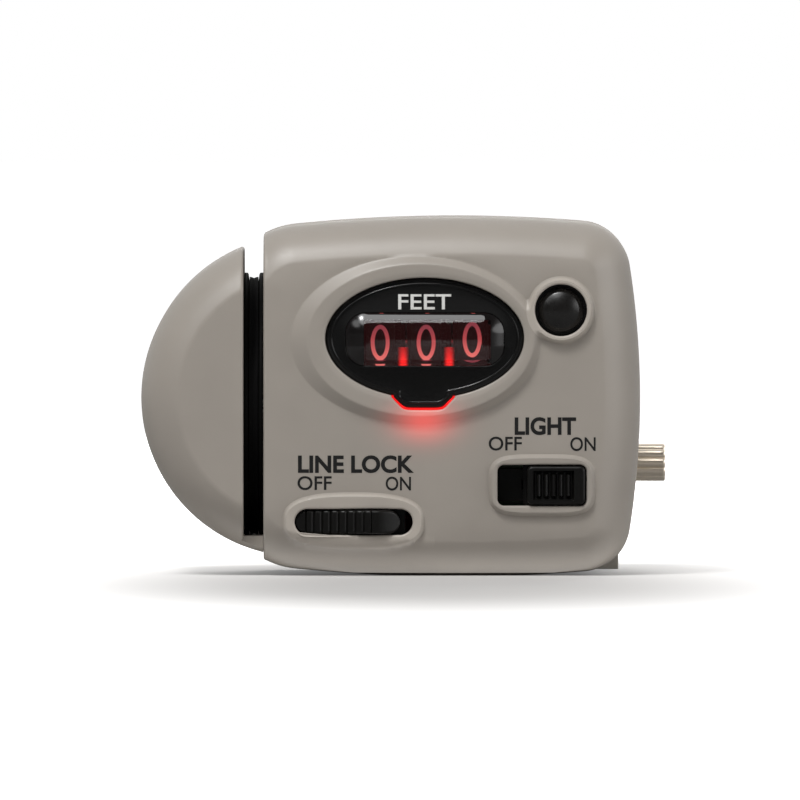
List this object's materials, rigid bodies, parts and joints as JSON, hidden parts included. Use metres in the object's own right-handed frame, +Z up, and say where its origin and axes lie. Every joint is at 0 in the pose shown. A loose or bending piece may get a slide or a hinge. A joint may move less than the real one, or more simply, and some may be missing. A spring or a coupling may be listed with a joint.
{
  "type": "fishing line counter",
  "caption": "Clamp-on line counter: a slotted measuring wheel drives a geared number register behind an oval lens, with reset button, line lock, lamp switch and rod clamp.",
  "frame": {"origin": "middle of the floor under the whole object", "axes": "+Z up, -Y towards the viewer of the display, +X to the right of the display"},
  "size_m": [0.0792, 0.0604, 0.0537],
  "materials": {
    "housing": "satin moulded grey",
    "housing_inner": "satin moulded grey",
    "clamp_grey": "satin moulded grey",
    "panel_black": "smooth black",
    "knob_black": "fine satin black",
    "wheel_black": "polished black",
    "drum_black": "flat black",
    "frame_dark": "flat dark grey",
    "gear_ivory": "smooth ivory",
    "board": "green lacquer",
    "rubber": "soft black",
    "lens": "clear polished",
    "light_guide": "glowing clear red",
    "brass": "polished",
    "steel": "bright",
    "cell_steel": "bright",
    "digit_red": "glowing red print",
    "label_black": "flat print",
    "label_white": "flat print"
  },
  "bodies": {
    "housing": {"front_housing": "housing", "rear_cover": "housing", "line_guard": "housing", "guard_plate": "housing_inner", "display_panel": "panel_black", "display_lens": "lens", "light_guide": "light_guide", "lamp_led": "light_guide", "lamp_board": "board", "switch_body": "frame_dark", "battery_holder": "frame_dark", "battery_cells": "cell_steel", "battery_contacts": "brass", "battery_door": "housing", "outer_bush": "brass", "inner_bush": "brass", "transfer_shaft": "steel", "counter_frame": "frame_dark", "gear_plate": "steel", "reset_spring": "steel", "spring_seat": "frame_dark", "lock_pivot": "steel", "rod_clamp": "clamp_grey", "cradle_liner": "rubber", "thread_insert": "brass", "housing_screws": "steel", "guard_screws": "steel", "clamp_screws": "steel", "frame_screws": "steel", "board_screws": "steel", "plate_screws": "steel"},
    "wheel": {"measuring_wheel": "wheel_black", "wheel_tyre": "rubber", "wheel_axle": "steel", "drive_pinion": "gear_ivory"},
    "layshaft": {"layshaft": "steel", "reduction_gear": "gear_ivory", "reduction_pinion": "gear_ivory"},
    "ones": {"counter_shaft": "steel", "counter_gear": "gear_ivory", "ones_wheel": "drum_black"},
    "tens": {"tens_wheel": "drum_black"},
    "hundreds": {"hundreds_wheel": "drum_black"},
    "tens_pinion": {"tens_pinion": "gear_ivory"},
    "hundreds_pinion": {"hundreds_pinion": "gear_ivory"},
    "reset_button": {"reset_button": "knob_black"},
    "reset_comb": {"reset_comb": "gear_ivory"},
    "lock_slider": {"lock_slider": "knob_black"},
    "lock_lever": {"lock_lever": "gear_ivory", "lock_pad": "rubber"},
    "lamp_switch": {"lamp_switch": "knob_black"},
    "pressure_pad": {"pressure_pad": "rubber"},
    "thumb_screw": {"thumb_screw": "brass"}
  },
  "joints": [
    {"name": "wheel_spin", "type": "hinge", "parent": "housing", "child": "wheel", "pos_m": [-0.0227, -0.00679, 0.02517], "axis": [1, 0, 0], "continuous": true},
    {"name": "layshaft_spin", "type": "hinge", "parent": "housing", "child": "layshaft", "pos_m": [0.00323, -0.00264, 0.03644], "axis": [1, 0, 0], "continuous": true},
    {"name": "ones_spin", "type": "hinge", "parent": "housing", "child": "ones", "pos_m": [0.00323, -0.01459, 0.03528], "axis": [1, 0, 0], "continuous": true},
    {"name": "tens_spin", "type": "hinge", "parent": "housing", "child": "tens", "pos_m": [0.00323, -0.01459, 0.03528], "axis": [1, 0, 0], "continuous": true},
    {"name": "hundreds_spin", "type": "hinge", "parent": "housing", "child": "hundreds", "pos_m": [0.00323, -0.01459, 0.03528], "axis": [1, 0, 0], "continuous": true},
    {"name": "tens_pinion_spin", "type": "hinge", "parent": "housing", "child": "tens_pinion", "pos_m": [0.00323, -0.01264, 0.02425], "axis": [1, 0, 0], "continuous": true},
    {"name": "hundreds_pinion_spin", "type": "hinge", "parent": "housing", "child": "hundreds_pinion", "pos_m": [0.00323, -0.01264, 0.02425], "axis": [1, 0, 0], "continuous": true},
    {"name": "reset_press", "type": "slide", "parent": "housing", "child": "reset_button", "axis": [0, 1, 0], "range_m": [0, 0.002], "stiffness_N_per_m": 200, "springref_m": -0.002, "deforming": ["reset_spring"]},
    {"name": "comb_drop", "type": "slide", "parent": "housing", "child": "reset_comb", "axis": [0, 0, -1], "range_m": [0, 0.002]},
    {"name": "line_lock", "type": "slide", "parent": "housing", "child": "lock_slider", "axis": [1, 0, 0], "range_m": [0, 0.0017]},
    {"name": "lock_turn", "type": "hinge", "parent": "housing", "child": "lock_lever", "pos_m": [-0.0166, -0.01779, 0.00815], "axis": [0, 0, 1], "range_deg": [0, 16.28]},
    {"name": "lamp_slide", "type": "slide", "parent": "housing", "child": "lamp_switch", "axis": [1, 0, 0], "range_m": [-0.00425, 0]},
    {"name": "pad_slide", "type": "slide", "parent": "housing", "child": "pressure_pad", "axis": [1, 0, 0], "range_m": [-0.002, 0.0055]},
    {"name": "screw_turn", "type": "hinge", "parent": "pressure_pad", "child": "thumb_screw", "pos_m": [0.0369, 0.02295, 0.016], "axis": [1, 0, 0], "range_deg": [-901, 2476]}
  ],
  "couplings": [
    {"joint": "layshaft_spin", "follows": "wheel_spin", "ratio": -0.2},
    {"joint": "ones_spin", "follows": "wheel_spin", "ratio": 0.04},
    {"joint": "tens_spin", "follows": "wheel_spin", "ratio": 0.004},
    {"joint": "hundreds_spin", "follows": "wheel_spin", "ratio": 0.0004},
    {"joint": "tens_pinion_spin", "follows": "wheel_spin", "ratio": -0.01},
    {"joint": "hundreds_pinion_spin", "follows": "wheel_spin", "ratio": -0.001},
    {"joint": "comb_drop", "follows": "reset_press", "ratio": 1},
    {"joint": "lock_turn", "follows": "line_lock", "rad_per_m": 166.67},
    {"joint": "screw_turn", "follows": "pad_slide", "rad_per_m": 7854}
  ]
}
